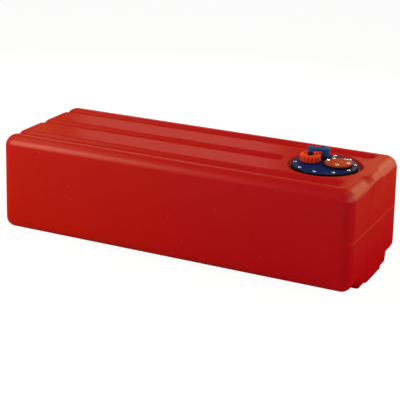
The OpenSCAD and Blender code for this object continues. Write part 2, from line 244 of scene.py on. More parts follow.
def tank_lines(fine):
    """Grid lines along X, Y and Z, close together for the outside and few for the inside."""
    if fine:
        rings = stretch(0, HOLE_R, 4) + stretch(HOLE_R, 90, 4)
        rings += stretch(RECESS_IN - 1.5, RECESS_OUT + 1.5, 1.25)
        across = rings + stretch(46, 64, 1.5) + stretch(100, EDGE_LINE, 2.5)
        along = stretch(X_FIXED[0], 180, 19) + stretch(180, 250, 2.5)
        seam_low, seam_high = SEAM_Z - SEAM_REACH, SEAM_Z + SEAM_REACH
        up = stretch(Z_FIXED[0], 90, 3) + stretch(90, seam_low, 12)
        up += stretch(seam_low, seam_high, 0.8) + stretch(seam_high, Z_FIXED[1], 12)
        band = 9
    else:
        rings = stretch(0, HOLE_R, 8) + [80.0, 96.0, BOSS_R]
        across = rings + stretch(103, EDGE_LINE, 7)
        along = stretch(X_FIXED[0], 250, 40)
        up = stretch(*Z_FIXED, 34)
        band = 4
    rings = rings + [SQUARE]
    x = sorted({round(v, 4) for v in along + [FLANGE_AT[0] + o for o in mirrored(rings)]})
    y = sorted({round(v, 4) for v in mirrored(across)})
    return Lines(x, band), Lines(y, band), Lines(sorted({round(v, 4) for v in up}), band)


def polar(x, y):
    """Bends the square grid round the flange into rings, so that the recess is truly round."""
    dx, dy = x - FLANGE_AT[0], y - FLANGE_AT[1]
    ring = np.maximum(np.abs(dx), np.abs(dy))
    far = np.maximum(np.hypot(dx, dy), 1e-9)
    bend = 1.0 - smooth_step(BOSS_R, SQUARE, ring)
    pull = 1.0 + bend * (ring / far - 1.0)
    return FLANGE_AT[0] + dx * pull, FLANGE_AT[1] + dy * pull


def groove_depth(x, y, z):
    """Depth of the three grooves on the top and down the plain end."""
    depth = np.zeros_like(x)
    for middle, end in GROOVES:
        past_end = np.maximum(0.0, x - end)
        below_foot = np.maximum(0.0, GROOVE_FOOT - z)
        out = np.sqrt((y - middle) ** 2 + past_end ** 2 + below_foot ** 2) / GROOVE_HALF
        t = np.clip((out - GROOVE_FLAT) / (1.0 - GROOVE_FLAT), 0.0, 1.0)
        depth = np.maximum(depth, GROOVE_D * (1.0 + np.cos(math.pi * t)) / 2)
    return depth


def tank_points(ix, iy, iz, lines, inset):
    """Points of the tank's surface, moved in by inset, for indices on the outside of the grid."""
    lx, ly, lz = lines
    tx, ty, tz = lx.tangent[ix], ly.tangent[iy], lz.tangent[iz]
    cx, y_mid, cz = lx.place[ix], ly.place[iy], lz.place[iz]
    right = ix > lx.count // 2

    on_pad = 1.0 - smooth_step(PAD_HALF - PAD_BLEND / 2, PAD_HALF + PAD_BLEND / 2, np.abs(y_mid))
    on_crest = 1.0 - smooth_step(CREST_IN, CREST_OUT, np.abs(y_mid))
    on_base = 1.0 - smooth_step(BASE_HALF - BASE_BLEND, BASE_HALF, np.abs(y_mid))
    height = lz.place[iz]
    at_foot = 1.0 - smooth_step(*PAD_FOOT, height * (iz >= lz.band))
    at_crest = smooth_step(*CREST_RISE, height)
    share = PAD_FLUSH * on_pad + (1.0 - PAD_FLUSH) * np.maximum(at_foot * on_pad, at_crest * on_crest)
    end_x = TANK_HIGH[0] - PAD_PROUD + PAD_PROUD * share
    low_z = TANK_LOW[2] + BASE_STEP * (1.0 - on_base)
    top_r = EDGE_R + (CREST_R - EDGE_R) * np.where(right, on_crest, 0.0)
    foot_r = FOOT_R + (BASE_R - FOOT_R) * on_base
    foot_r += (PAD_R - foot_r) * np.where(right, on_pad, 0.0)
    rise = (height - lz.place[0]) / (lz.place[-1] - lz.place[0])
    r = foot_r + (top_r - foot_r) * rise

    # The last line of each straight part follows the corner's own radius
    cx = np.where(ix >= lx.count - lx.band, end_x - r, cx)
    cx = np.where(ix < lx.band, TANK_LOW[0] + r, cx)
    cz = np.where(iz >= lz.count - lz.band, TANK_HIGH[2] - r, cz)
    cz = np.where(iz < lz.band, low_z + r, cz)
    y_mid = np.where(iy >= ly.count - ly.band, TANK_HIGH[1] - r, y_mid)
    y_mid = np.where(iy < ly.band, TANK_LOW[1] + r, y_mid)

    heading = np.stack([tx, ty, tz], axis=1)
    heading /= np.linalg.norm(heading, axis=1)[:, None]
    core = np.stack([cx, y_mid, cz], axis=1)
    skin = core + heading * r[:, None]

    on_top = heading[:, 2] > LEVEL
    skin[on_top, 0], skin[on_top, 1] = polar(skin[on_top, 0], skin[on_top, 1])
    x, y, z = skin.T
    depth = groove_depth(x, y, z) + inset
    out = np.hypot(x - FLANGE_AT[0], y - FLANGE_AT[1])
    if inset:
        boss = (TANK_HIGH[2] - BOSS_Z) * (1.0 - smooth_step(BOSS_R - BOSS_BLEND, BOSS_R, out))
        depth = np.where(on_top, np.maximum(depth, boss), depth)
    else:
        recess = (TANK_HIGH[2] - SEAT_Z) * (1.0 - smooth_step(RECESS_IN, RECESS_OUT, out))
        depth = np.where(on_top, np.maximum(depth, recess), depth)
        seam = SEAM_RISE * np.exp(-(((z - SEAM_Z) / SEAM_HALF) ** 2))
        seam *= SEAM_ON_SIDES + SEAM_ON_ENDS * np.abs(heading[:, 0])
        depth = depth - np.where(np.abs(heading[:, 2]) < UPRIGHT, seam, 0.0)
    skin = skin - heading * depth[:, None]
    # The ends lean out a little towards the foot
    skin[:, 0] += LEAN * skin[:, 0] / TANK_HIGH[0] * (1.0 - skin[:, 2] / TANK_HIGH[2])
    return skin


def tank_surface(fine, inset):
    """Points and faces of one side of the tank's wall, open at the round hole."""
    lines = tank_lines(fine)
    nx, ny, nz = (line.count for line in lines)
    index = {}
    faces = []

    def corner(key):
        return index.setdefault(key, len(index))

    def sheet(n1, n2, key):
        for a in range(n1 - 1):
            for b in range(n2 - 1):
                yield [key(a, b), key(a + 1, b), key(a + 1, b + 1), key(a, b + 1)]

    def in_hole(quad):
        spots = [np.array([lines[0].place[k[0]], lines[1].place[k[1]]]) - FLANGE_AT for k in quad]
        return all(np.abs(spot).max() < HOLE_R + 0.01 for spot in spots)

    sides = [
        (sheet(nx, ny, lambda a, b: (a, b, nz - 1)), True),
        (sheet(nx, ny, lambda a, b: (a, b, 0)), False),
        (sheet(nx, nz, lambda a, b: (a, 0, b)), True),
        (sheet(nx, nz, lambda a, b: (a, ny - 1, b)), False),
        (sheet(ny, nz, lambda a, b: (0, a, b)), False),
        (sheet(ny, nz, lambda a, b: (nx - 1, a, b)), True),
    ]
    for side, forward in sides:
        for quad in side:
            on_top = all(k[2] == nz - 1 for k in quad)
            if not (on_top and in_hole(quad)):
                faces.append([corner(k) for k in (quad if forward else reversed(quad))])

    ix, iy, iz = np.array(list(index)).T
    return tank_points(ix, iy, iz, lines, inset), faces


def tank_skin():
    """Tank wall as one closed mesh: outside, inside and the side of the round hole."""
    outer, outer_faces = tank_surface(True, 0.0)
    inner, inner_faces = tank_surface(False, WALL)
    shift = len(outer)
    faces = outer_faces + [[v + shift for v in reversed(f)] for f in inner_faces]
    piece = mesh_object("tank_skin", np.vstack([outer, inner]), faces)
    bm = bmesh.new()
    bm.from_mesh(piece.data)
    rims = [e for e in bm.edges if e.is_boundary]
    bmesh.ops.bridge_loops(bm, edges=rims)
    bmesh.ops.recalc_face_normals(bm, faces=bm.faces[:])
    for face in bm.faces:
        face.smooth = True
    bm.to_mesh(piece.data)
    bm.free()
    piece.data.set_sharp_from_angle(angle=math.radians(TANK_SHARP))
    return piece


# Turned pieces


def fillet(points, steps=4):
    """Outline through (r, z, rounding) points, with each corner rounded."""
    out = []
    last = len(points) - 1
    for i, (r, z, rounding) in enumerate(points):
        here = Vector((r, z))
        if rounding <= 0 or i in (0, last):
            out.append((r, z))
            continue
        back = Vector(points[i - 1][:2]) - here
        ahead = Vector(points[i + 1][:2]) - here
        reach = min(rounding, 0.49 * back.length, 0.49 * ahead.length)
        start, end = here + back.normalized() * reach, here + ahead.normalized() * reach
        for k in range(steps + 1):
            t = k / steps
            out.append(tuple(start * (1 - t) ** 2 + here * 2 * t * (1 - t) + end * t * t))
    return out


def turned(outline, segments=64, wave=None):
    """Points and faces of an outline turned about the upright axis.

    The outline runs up the outside. It is a closed loop unless both its ends lie on the axis.
    wave(angle, r, z) may give another radius.
    """
    on_axis = outline[0][0] < 1e-6 and outline[-1][0] < 1e-6
    verts, faces, rings = [], [], []
    for r, z in outline:
        if r < 1e-6:
            rings.append([len(verts)] * segments)
            verts.append((0.0, 0.0, z))
            continue
        rings.append([len(verts) + s for s in range(segments)])
        for s in range(segments):
            a = 2 * math.pi * s / segments
            radius = wave(a, r, z) if wave else r
            verts.append((radius * math.cos(a), radius * math.sin(a), z))
    pairs = list(zip(rings, rings[1:])) + ([] if on_axis else [(rings[-1], rings[0])])
    for low, high in pairs:
        for s in range(segments):
            e = (s + 1) % segments
            quad = [low[s], low[e], high[e], high[s]]
            face = [v for k, v in enumerate(quad) if v not in quad[:k]]
            if len(face) > 2:
                faces.append(face)
    return np.array(verts), faces


def moved(verts, at, z=0.0, turn=None):
    """Points turned by a matrix and then set at a place on the flange."""
    if turn is not None:
        verts = np.array([turn @ Vector(v) for v in verts])
    return verts + np.array([at[0], at[1], z])


def joined(name, parts):
    """One object from several lists of points and faces."""
    verts, faces, shift = [], [], 0
    for part_verts, part_faces in parts:
        verts.append(part_verts)
        faces += [[v + shift for v in f] for f in part_faces]
        shift += len(part_verts)
    return mesh_object(name, np.vstack(verts), faces)


def carve(piece, other, operation):
    """Joins another solid to a piece or cuts it out, and removes the other."""
    change = piece.modifiers.new("carve", "BOOLEAN")
    change.operation = operation
    change.solver = "EXACT"
    change.object = other
    made = bpy.data.meshes.new_from_object(piece.evaluated_get(bpy.context.evaluated_depsgraph_get()))
    piece.modifiers.clear()
    piece.data = made
    bpy.data.objects.remove(other)
    made.polygons.foreach_set("use_smooth", [True] * len(made.polygons))
    made.set_sharp_from_angle(angle=math.radians(SHARP))


def on_circle(at, radius, angles):
    """Places on a circle about a point, by their angles in degrees."""
    turns = [math.radians(a) for a in angles]
    return [(at[0] + radius * math.cos(a), at[1] + radius * math.sin(a)) for a in turns]


def post(at, r, low, high, segments=40):
    """Plain round bar used for cutting."""
    verts, faces = turned([(0, low), (r, low), (r, high), (0, high)], segments)
    return moved(verts, at), faces


def drum(r, low, high, rounding, at, segments, foot=0.0):
    """Round solid at a place, with its upper rim rounded, and its lower one too if asked."""
    verts, faces = turned(fillet([(0, low, 0), (r, low, foot), (r, high, rounding), (0, high, 0)]), segments)
    return moved(verts, at), faces


def collar(inner, outer, low, high, rounding, at, segments, foot=0.0):
    """Round ring at a place, with its outer rims rounded like those of a drum."""
    outline = fillet([(inner, low, 0), (outer, low, foot), (outer, high, rounding), (inner, high, 0)])
    verts, faces = turned(outline, segments)
    return moved(verts, at), faces


FLANGE_SCREWS_AT = on_circle(FLANGE_AT, FLANGE_PCR, FLANGE_SCREW_ANGLES)
SENDER_SCREWS_AT = on_circle(SENDER_AT, SENDER_PCR, SENDER_SCREW_ANGLES)


def flange_plate():
    """Blue plate with the neck and the sender boss on it, and all its holes."""
    # The plate stops short of the black ring round it, which stands in for the shade on its rim
    disc = drum(FLANGE_R - RIM_RING, PLATE_Z, PLATE_TOP, PLATE_EDGE, FLANGE_AT, 128)
    boss = drum(SENDER_R, PLATE_Z + 1, BOSS_TOP, 0.8, SENDER_AT, 96)
    neck = drum(NECK_R, PLATE_Z + 1, NECK_TOP, 0.8, NECK_AT, 72)
    piece = joined("flange_plate_part", [disc])
    carve(piece, joined("boss", [boss]), "UNION")
    carve(piece, joined("neck", [neck]), "UNION")
    below, above = PLATE_Z - PAST, NECK_TOP + PAST
    bores = ((NECK_AT, NECK_BORE), (SENDER_AT, SENDER_HOLE), (VENT_AT, VENT_HOLE))
    holes = [post(at, r, below, above) for at, r in bores]
    holes += [post(at, SCREW_R + SCREW_SLIP, below, above, 20) for at in FLANGE_SCREWS_AT]
    holes += [post(at, INSERT_R, BOSS_TOP - INSERT_L, above, 20) for at in SENDER_SCREWS_AT]
    carve(piece, joined("holes", holes), "DIFFERENCE")
    return piece


def plate_rim_shade_ring():
    """Black rubber ring round the rim of the blue plate: partly the gasket's edge, drawn up to stand in for
    the shade on the plate's rim.
    """
    inner, top = FLANGE_R - RIM_RING - RIM_RING_LAP, PLATE_TOP - RIM_RING_DROP
    return joined("plate_rim_shade_ring", [collar(inner, FLANGE_R, PLATE_Z, top, 0.8, FLANGE_AT, 128)])


def sender_shade_ring():
    """Black rubber ring under the blanking plate, round the top of the boss: the gasket's edge made thicker
    to stand in for the shade under the plate.
    """
    inner, outer, low = SENDER_R + 0.05, SENDER_R + SENDER_RING_W, BOSS_TOP - SENDER_RING_DROP
    return joined("sender_shade_ring", [collar(inner, outer, low, SENDER_PLATE_Z, 0.3, SENDER_AT, 96, 0.3)])


def screw_cap():
    """Orange cap with soft grip ribs, a dished top and a hole for the stem."""
    foot, wall_h = CAP_LOW + CAP_FOOT, CAP_TOP - CAP_LOW - 4.4
    wall = [(CAP_R, foot + wall_h * i / CAP_WALL_ROWS, 0) for i in range(CAP_WALL_ROWS + 1)]
    outline = fillet(
        [(CAP_BORE, CAP_LOW, 0), (CAP_R - 0.8, CAP_LOW, 0)]
        + wall
        + [(CAP_R, CAP_TOP - 2.4, 0), (CAP_R, CAP_TOP, 2.3), (CAP_DISH_R, CAP_TOP, 1.0),
           (CAP_DISH_R - 0.5, CAP_DISH_Z, 1.2), (CAP_HOLE, CAP_DISH_Z, 0.4), (CAP_HOLE, CAP_CEILING, 0),
           (CAP_BORE, CAP_CEILING, 0)],
        5,
    )

    def ribbed(angle, r, z):
        if r < CAP_R - 0.4:
            return r
        rise = smooth_step(foot, CAP_LOW + 2.2, z) * (1.0 - smooth_step(CAP_TOP - 5.0, CAP_TOP - 2.0, z))
        lobe = max(0.0, 0.35 + 0.65 * math.cos(RIBS * (angle - math.pi / RIBS)))
        return r + RIB_RISE * rise * lobe ** 0.8

    verts, faces = turned(outline, RIBS * RIB_SEGMENTS, ribbed)
    return joined("screw_cap_part", [(moved(verts, NECK_AT), faces)])


# Elbow: its head on the stem, its arm, and the leg with the grooves of its two rings
ELBOW_LOW, ELBOW_HIGH = box_mm("outlet_elbow")
ELBOW_Z = 305.0
ELBOW_R = 7.3
ELBOW_WAY = 3.0
ARM_Z = 312.0
ARM_R = 6.3
ARM_L = 31.0
ARM_TURN = 26.0
ARM_COLLAR_R = 6.65
ARM_COLLAR_L = 8.8
LEG_R = 5.0
LEG_RING_R = 4.1
SNAP_RING = (294.5, 295.7)
SEAL_RING = (299.8, 301.6)
BARB_D = 0.9
BARB_PITCH = 5.0


def barbs(length, r):
    """Outline of a hose tail's three barbs along its axis, from the plain root to the tip."""
    out = [(r, length - 16.5, 0.3)]
    root = r - BARB_D
    for k in (3, 2, 1):
        start = length - k * BARB_PITCH
        out += [(root, start - 0.5, 0), (root, start - 0.05, 0), (r, start, 0.2), (r, start + 1.5, 0.4)]
    return out + [(root, length, 0.4)]


def outlet_elbow():
    """Blue elbow: a round head that turns on the stem, with a barbed arm."""
    leg = [(0, ELBOW_LOW[2], 0), (LEG_R, ELBOW_LOW[2], 0.3)]
    for low, high in (SNAP_RING, SEAL_RING):
        leg += [(LEG_R, low, 0), (LEG_RING_R, low, 0), (LEG_RING_R, high, 0), (LEG_R, high, 0)]
    top = ELBOW_HIGH[2]
    head = [(LEG_R, ELBOW_Z, 0), (ELBOW_R, ELBOW_Z, 0.6), (ELBOW_R, top, 3.4), (0, top, 0)]
    body = turned(fillet(leg + head, 6), 64)
    arm = [(0, 0, 0), (ARM_COLLAR_R, 0, 0), (ARM_COLLAR_R, ARM_COLLAR_L, 0.4), (ARM_R, ARM_COLLAR_L, 0)]
    tail = turned(fillet(arm + barbs(ARM_L, ARM_R) + [(0, ARM_L, 0)]), 64)
    bore = turned([(0, 1.0), (ELBOW_WAY, 1.0), (ELBOW_WAY, ARM_L + PAST), (0, ARM_L + PAST)], 40)
    along = Matrix.Rotation(math.radians(ARM_TURN), 3, "Z") @ Matrix.Rotation(math.radians(90), 3, "Y")
    piece = joined("outlet_elbow_part", [(moved(body[0], NECK_AT), body[1])])
    carve(piece, joined("arm", [(moved(tail[0], NECK_AT, ARM_Z, along), tail[1])]), "UNION")
    carve(piece, joined("bore", [(moved(bore[0], NECK_AT, ARM_Z, along), bore[1])]), "DIFFERENCE")
    way = post(NECK_AT, ELBOW_WAY, ELBOW_LOW[2] - PAST, ARM_Z)
    carve(piece, joined("way", [way]), "DIFFERENCE")
    return piece


# Vent: its head, its shank, and the ball's chamber with the port above it
VENT_R = 11.5
VENT_Z = 285.5
SHANK_R = 8.5
CHAMBER_R = 5.6
PORT_R = 2.88
BALL_ROOM = 4.0  # from the top of the resting ball up to its seat
WAIST_D = 0.7


def vent_body():
    """Blue vent: a round head on a shank, with the roll-over ball's chamber inside it."""
    low, high = box_mm("vent_body")
    tail_low, tail_high = box_mm("vent_hose_tail")
    tail_z = (tail_low[2] + tail_high[2]) / 2
    seat = box_mm("vent_ball")[1][2] + BALL_ROOM
    waist = VENT_R - WAIST_D
    outline = fillet([
        (0, tail_z, 0), (PORT_R, tail_z, 0), (PORT_R, seat, 0), (CHAMBER_R, seat, 0), (CHAMBER_R, low[2], 0),
        (SHANK_R, low[2], 0.4), (SHANK_R, VENT_Z, 0), (VENT_R, VENT_Z, 0.6),
        (VENT_R, VENT_Z + 13.0, 0.3), (waist, VENT_Z + 13.8, 0.3), (waist, VENT_Z + 15.2, 0.3),
        (VENT_R, VENT_Z + 16.0, 0.3), (VENT_R, high[2], 2.4), (0, high[2], 0)])
    verts, faces = turned(outline, 72)
    return joined("vent_body_part", [(moved(verts, VENT_AT), faces)])


def sender_plate():
    """Orange blanking plate with a softened edge and five screw holes."""
    disc = drum(SENDER_R, SENDER_PLATE_Z, SENDER_TOP, PLATE_EDGE, SENDER_AT, 96, 0.5)
    piece = joined("sender_plate_part", [disc])
    below, above = SENDER_PLATE_Z - PAST, SENDER_TOP + PAST
    holes = [post(at, SCREW_R + SCREW_SLIP, below, above, 20) for at in SENDER_SCREWS_AT]
    carve(piece, joined("holes", holes), "DIFFERENCE")
    return piece


def screw_form(length, turn):
    """Pan-head screw seated at z = 0, with a cross recess in its crown."""
    rows, spokes = 14, 48
    verts = [(0.0, 0.0, 0.0)]
    for k in range(1, rows + 1):
        share = k / rows
        r = HEAD_R * math.sin(share * math.pi / 2)
        crown = HEAD_H * (0.35 + 0.65 * math.sqrt(max(0.0, 1.0 - (r / HEAD_R) ** 2.6)))
        for s in range(spokes):
            a = 2 * math.pi * s / spokes
            x, y = r * math.cos(a), r * math.sin(a)
            arm = min(abs(x), abs(y))
            reach = max(abs(x), abs(y))
            cut = RECESS_D * (1 - smooth_step(0.35, 0.75, arm)) * (1 - smooth_step(1.9, 2.6, reach))
            verts.append((x, y, crown - cut))
    verts[0] = (0.0, 0.0, HEAD_H - RECESS_D)
    faces = [[0, 1 + s, 1 + (s + 1) % spokes] for s in range(spokes)]
    for k in range(rows - 1):
        a, b = 1 + k * spokes, 1 + (k + 1) * spokes
        faces += [[a + s, b + s, b + (s + 1) % spokes, a + (s + 1) % spokes] for s in range(spokes)]
    rim = 1 + (rows - 1) * spokes
    for r, z in ((HEAD_R, 0.0), (SCREW_R, 0.0), (SCREW_R, -length)):
        ring = len(verts)
        for s in range(spokes):
            a = 2 * math.pi * s / spokes
            verts.append((r * math.cos(a), r * math.sin(a), z))
        faces += [[rim + s, ring + s, ring + (s + 1) % spokes, rim + (s + 1) % spokes] for s in range(spokes)]
        rim = ring
    tip = len(verts)
    verts.append((0.0, 0.0, -length - 0.6))
    faces += [[rim + s, tip, rim + (s + 1) % spokes] for s in range(spokes)]
    spin = Matrix.Rotation(math.radians(turn), 3, "Z")
    return np.array([spin @ Vector(v) for v in verts]), faces


def screw_set(name, places, seat, length):
    """All the screws of one circle. Each stands at its own angle, as screws do."""
    forms = []
    for i, at in enumerate(places):
        verts, faces = screw_form(length, TURN_STEP * i)
        forms.append((moved(verts, at, seat), faces))
    return joined(name, forms)


# Materials


# Places of the colour sockets among those of a mix node
MIX_A, MIX_B, MIX_RESULT = 6, 7, 2


class Nodes:
    """Short calls for building a node material."""

    def __init__(self, name):
        self.material = bpy.data.materials.new(name)
        self.material.use_nodes = True
        self.tree = self.material.node_tree
        self.shader = self.tree.nodes["Principled BSDF"]
        self.place = self.add("ShaderNodeTexCoord").outputs["Object"]

    def add(self, kind, **values):
        node = self.tree.nodes.new(kind)
        for key, value in values.items():
            if key in node.inputs:
                node.inputs[key].default_value = value
            else:
                setattr(node, key, value)
        return node

    def link(self, out, into):
        self.tree.links.new(out, into)

    def noise(self, scale, detail=3.0, rough=0.5):
        node = self.add("ShaderNodeTexNoise", Scale=scale, Detail=detail, Roughness=rough)
        self.link(self.place, node.inputs["Vector"])
        return node.outputs["Fac"]

    def ramp(self, value, stops):
        node = self.add("ShaderNodeValToRGB")
        ramp = node.color_ramp
        ramp.elements[0].position, ramp.elements[0].color = stops[0][0], (*stops[0][1], 1)
        ramp.elements[1].position, ramp.elements[1].color = stops[-1][0], (*stops[-1][1], 1)
        for position, colour in stops[1:-1]:
            ramp.elements.new(position).color = (*colour, 1)
        self.link(value, node.inputs["Fac"])
        return node.outputs["Color"]

    def span(self, value, low, high, start=0.3, end=0.7):
        node = self.add("ShaderNodeMapRange")
        for key, number in (("From Min", start), ("From Max", end), ("To Min", low), ("To Max", high)):
            node.inputs[key].default_value = number
        self.link(value, node.inputs["Value"])
        return node.outputs["Result"]

    def math(self, operation, a, b=0.0):
        node = self.add("ShaderNodeMath", operation=operation)
        for socket, value in zip(node.inputs, (a, b)):
            if isinstance(value, (int, float)):
                socket.default_value = value
            else:
                self.link(value, socket)
        return node.outputs["Value"]

    def split(self, vector):
        node = self.add("ShaderNodeSeparateXYZ")
        self.link(vector, node.inputs[0])
        return node.outputs["X"], node.outputs["Y"], node.outputs["Z"]

    def overlaid(self, tone, over_colour, share):
        """Colour tone with a share of another colour over it, used for real flecks and for painted highlight
        and painted shade.
        """
        node = self.add("ShaderNodeMix", data_type="RGBA")
        self.link(share, node.inputs["Factor"])
        self.link(tone, node.inputs[MIX_A])
        node.inputs[MIX_B].default_value = (*over_colour, 1)
        return node.outputs[MIX_RESULT]

    def bump(self, height, strength, distance):
        node = self.add("ShaderNodeBump", Strength=strength, Distance=distance)
        self.link(height, node.inputs["Height"])
        self.link(node.outputs["Normal"], self.shader.inputs["Normal"])

    def set(self, **values):
        for key, value in values.items():
            self.shader.inputs[key.replace("_", " ")].default_value = value


def tank_plastic():
    """Red polyethylene as it leaves the mould: satin, faintly mottled, with pale flecks."""
    n = Nodes("tank_polyethylene")
    along_x, along_y, along_z = n.split(n.place)
    facing_x, _, facing_z = n.split(n.add("ShaderNodeNewGeometry").outputs["Normal"])
    endward = n.span(facing_x, 0.0, 1.0, 0.5, 0.95)

    # Colour: painted warm light that fades along the tank from the plain end to the flange end, with a faint
    # mottle in it, rare pale flecks, and a painted highlight along the mould line on the flange end
    warm_light_and_mottle = n.math("ADD", n.math("MULTIPLY", along_x, 0.8), n.math("MULTIPLY", n.noise(5.0, 4.0), 0.5))
    # Painted light: orange-red where warm light would fall at the plain end, crimson towards the flange end
    warm_lit_red, cool_lit_red = (0.372, 0.0085, 0.0036), (0.366, 0.0026, 0.0090)
    tone = n.ramp(n.span(warm_light_and_mottle, 0.0, 1.0, -0.2, 0.7), [(0.0, warm_lit_red), (1.0, cool_lit_red)])
    fleck = n.add("ShaderNodeTexVoronoi", Scale=43.0)
    n.link(n.place, fleck.inputs["Vector"])
    spot = n.span(fleck.outputs["Distance"], 0.5, 0.0, 0.03, 0.12)
    rare = n.span(n.noise(11.0, 2.0), 0.0, 1.0, 0.53, 0.6)
    # Painted highlight: a pale line along the mould line on the flange end, in place of the light its ridge
    # would catch; the flecks are the plastic's own
    off_seam = n.math("ABSOLUTE", n.math("SUBTRACT", along_z, SEAM_Z * MM))
    seam = n.math("MULTIPLY", endward, n.span(off_seam, 0.075, 0.0, 0.0012, 0.0055))
    fleck_and_seam_highlight = n.math("MAXIMUM", n.math("MULTIPLY", spot, rare), seam)
    n.link(n.overlaid(tone, (0.62, 0.10, 0.09), fleck_and_seam_highlight), n.shader.inputs["Base Color"])

    # Surface: long waves with a fine peel on them
    n.link(n.span(n.noise(18.0, 4.0), 0.36, 0.46), n.shader.inputs["Roughness"])
    peel = n.math("MULTIPLY", n.noise(420.0, 2.0), 0.035)
    n.bump(n.math("ADD", n.noise(7.0, 1.0), peel), 0.5, 0.0016)

    # Gloss: thin on the walls and less towards the foot, more on the rubbed upper edges
    n.set(Specular_IOR_Level=0.0, Coat_IOR=2.5)
    outer_land = n.span(n.math("ABSOLUTE", along_y), 0.0, 1.0, 0.145, 0.150)
    rounding = n.math("MAXIMUM", n.span(facing_z, 1.0, 0.0, 0.88, 0.985), outer_land)
    rubbed = n.math("MULTIPLY", n.span(facing_z, 0.0, 1.0, 0.15, 0.42), rounding)
    upward = n.span(along_z, 0.2, 1.35, 0.03, 0.25)
    wall_gloss = n.math("MULTIPLY", upward, n.span(endward, 0.018, 0.009, 0.0, 1.0))
    long_edge = n.span(along_x, 0.076, 0.024, -0.4, 0.4)
    at_end = n.span(along_x, 0.0, 1.0, 0.45, 0.465)
    end_edge = n.math("MULTIPLY", n.span(facing_x, 0.0, 1.0, 0.2, 0.7), at_end)
    edge_gloss = n.math("MULTIPLY", rubbed, n.math("ADD", long_edge, n.math("MULTIPLY", end_edge, 0.14)))
    n.link(n.math("ADD", wall_gloss, edge_gloss), n.shader.inputs["Coat Weight"])
    n.link(n.span(rubbed, 0.22, 0.4, 0.0, 1.0), n.shader.inputs["Coat Roughness"])

    # Warm haze, which grows with height on the flange end and lies on its crest
    n.set(Sheen_Roughness=0.5, Sheen_Tint=(1.0, 0.6, 0.15, 1.0))
    end_haze = n.math("MULTIPLY", endward, n.span(along_z, 0.0, 0.075, 0.03, 0.25))
    crest_haze = n.math("MULTIPLY", n.math("MULTIPLY", rubbed, end_edge), 0.12)
    haze = n.math("ADD", n.span(endward, 0.04, 0.0, 0.0, 1.0), end_haze)
    n.link(n.math("ADD", haze, crest_haze), n.shader.inputs["Sheen Weight"])
    return n.material


def shade_between_ribs(n, tone):
    """The cap's colour with painted shade at the foot of its grip ribs, where the ribs shade each other."""
    apart = n.add("ShaderNodeVectorMath", operation="SUBTRACT")
    n.link(n.place, apart.inputs[0])
    apart.inputs[1].default_value = (NECK_AT[0] * MM, NECK_AT[1] * MM, 0.0)
    x, y, z = n.split(apart.outputs["Vector"])
    r = n.math("SQRT", n.math("ADD", n.math("MULTIPLY", x, x), n.math("MULTIPLY", y, y)))
    on_side = n.span(r, 0.0, 1.0, (CAP_R - 0.25) * MM, (CAP_R - 0.05) * MM)
    foot = n.span(r, 1.0, 0.0, CAP_R * MM, (CAP_R + 0.8 * RIB_RISE) * MM)
    below_crown = n.span(z, 1.0, 0.0, (CAP_TOP - 6.0) * MM, (CAP_TOP - 3.5) * MM)
    # Painted shade in the hollows between the ribs
    rib_shade = n.math("MULTIPLY", n.math("MULTIPLY", on_side, foot), below_crown)
    return n.overlaid(tone, (0.47, 0.026, 0.011), rib_shade)


def moulded_plastic(name, dark, light, rough, gloss=0.06, grain=900.0, shade_painter=None):
    """Injection-moulded plastic: fine grain, slight cloudiness in colour and gloss; shade_painter, when
    given, paints shade into the colour.
    """
    n = Nodes(name)
    tone = n.ramp(n.noise(40.0, 4.0), [(0.32, dark), (0.68, light)])
    n.link(shade_painter(n, tone) if shade_painter else tone, n.shader.inputs["Base Color"])
    n.link(n.span(n.noise(90.0, 3.0), rough - 0.06, rough + 0.06), n.shader.inputs["Roughness"])
    n.bump(n.noise(grain, 2.0), 0.18, 0.0002)
    n.set(Specular_IOR_Level=0.0, Coat_Weight=gloss, Coat_IOR=2.5, Coat_Roughness=rough - 0.1)
    return n.material


def metal(name, dark, light, rough):
    """Bright metal with fine turning marks and small stains."""
    n = Nodes(name)
    n.link(n.ramp(n.noise(300.0, 4.0), [(0.3, dark), (0.7, light)]), n.shader.inputs["Base Color"])
    n.link(n.span(n.noise(700.0, 3.0), rough - 0.07, rough + 0.08), n.shader.inputs["Roughness"])
    n.bump(n.noise(2400.0, 2.0), 0.12, 0.0001)
    n.set(Metallic=1.0)
    return n.material


def rubber(name):
    """Dull black seal rubber."""
    n = Nodes(name)
    dark, light = (0.004, 0.004, 0.006), (0.009, 0.009, 0.012)
    n.link(n.ramp(n.noise(120.0, 4.0), [(0.3, dark), (0.7, light)]), n.shader.inputs["Base Color"])
    n.link(n.span(n.noise(200.0, 3.0), 0.62, 0.8), n.shader.inputs["Roughness"])
    n.bump(n.noise(1500.0, 2.0), 0.25, 0.0002)
    n.set(Specular_IOR_Level=0.03)
    return n.material


